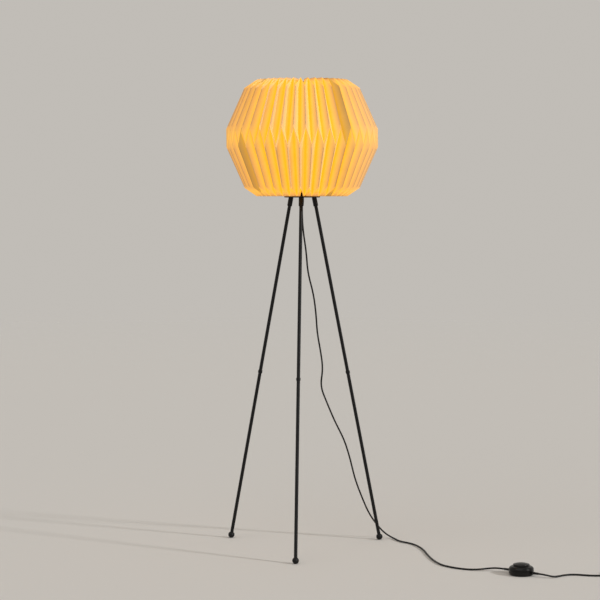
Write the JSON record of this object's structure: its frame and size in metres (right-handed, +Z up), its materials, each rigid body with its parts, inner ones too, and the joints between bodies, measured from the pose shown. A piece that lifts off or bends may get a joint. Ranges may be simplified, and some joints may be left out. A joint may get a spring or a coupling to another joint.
{
  "type": "paper lantern floor lamp",
  "caption": "Floor lamp with a round shade of pleated paper on a slim metal tripod with ball feet, wired through a foot switch.",
  "frame": {"origin": "on the floor, straight below the middle of the shade and of the plate that carries it", "axes": "+Z up; -Y towards the front leg; +X towards the side where the lead runs to its foot switch"},
  "size_m": [1.3446, 0.6877, 1.5],
  "materials": {
    "paper": "matt, lit from inside",
    "thread": "waxed thread",
    "black_metal": "satin powder coat",
    "black_plastic": "semi gloss",
    "ivory_plastic": "moulded",
    "ceramic": "unglazed",
    "brass": "plain",
    "plated_metal": "nickel plated",
    "bulb_glass": "opal, lit",
    "lead": "smooth sheath"
  },
  "bodies": {
    "stand": {"ball_foot_1": "black_metal", "ball_foot_2": "black_metal", "ball_foot_3": "black_metal", "base_plate": "black_metal", "cage_ring": "black_metal", "cage_ring_nut": "ivory_plastic", "cage_wire_1": "black_metal", "cage_wire_2": "black_metal", "cage_wire_3": "black_metal", "coil_tie": "black_plastic", "holder_cap": "black_plastic", "holder_contact": "brass", "holder_insert": "ceramic", "holder_sleeve": "ivory_plastic", "inner_lead": "lead", "lead_coil": "lead", "lead_gland": "black_plastic", "lead_lamp_to_switch": "lead", "lead_switch_to_coil": "lead", "leg_collar_1": "black_metal", "leg_collar_2": "black_metal", "leg_collar_3": "black_metal", "leg_socket_1": "black_metal", "leg_socket_2": "black_metal", "leg_socket_3": "black_metal", "leg_stud_1": "black_metal", "leg_stud_2": "black_metal", "leg_stud_3": "black_metal", "lower_leg_1": "black_metal", "lower_leg_2": "black_metal", "lower_leg_3": "black_metal", "nipple_nut": "plated_metal", "plug_body": "black_plastic", "plug_pins": "plated_metal", "switch_base": "black_plastic", "switch_cover": "black_plastic", "switch_latch": "black_plastic", "switch_relief_in": "black_plastic", "switch_relief_out": "black_plastic", "switch_screws": "plated_metal", "threaded_nipple": "plated_metal", "top_disc": "black_metal", "upper_leg_1": "black_metal", "upper_leg_2": "black_metal", "upper_leg_3": "black_metal"},
    "shade": {"shade_sheet_1": "paper", "shade_sheet_2": "paper", "shade_sheet_3": "paper", "shade_sheet_4": "paper", "shade_thread_top": "thread", "shade_thread_bottom": "thread"},
    "bulb": {"bulb_glass": "bulb_glass", "bulb_cap": "plated_metal", "bulb_contact": "brass"},
    "switch_press": {"switch_button": "black_plastic"}
  },
  "joints": [
    {"name": "shade_lift", "type": "slide", "parent": "stand", "child": "shade", "axis": [0, 0, 1], "range_m": [0, 0.4]},
    {"name": "bulb_unscrew", "type": "hinge", "parent": "stand", "child": "bulb", "pos_m": [0, 0, 1.16], "axis": [0, 0, 1], "range_deg": [0, 900]},
    {"name": "switch_push", "type": "slide", "parent": "stand", "child": "switch_press", "axis": [0, 0, -1], "range_m": [0, 0.003], "stiffness_N_per_m": 1200, "springref_m": -0.001}
  ]
}
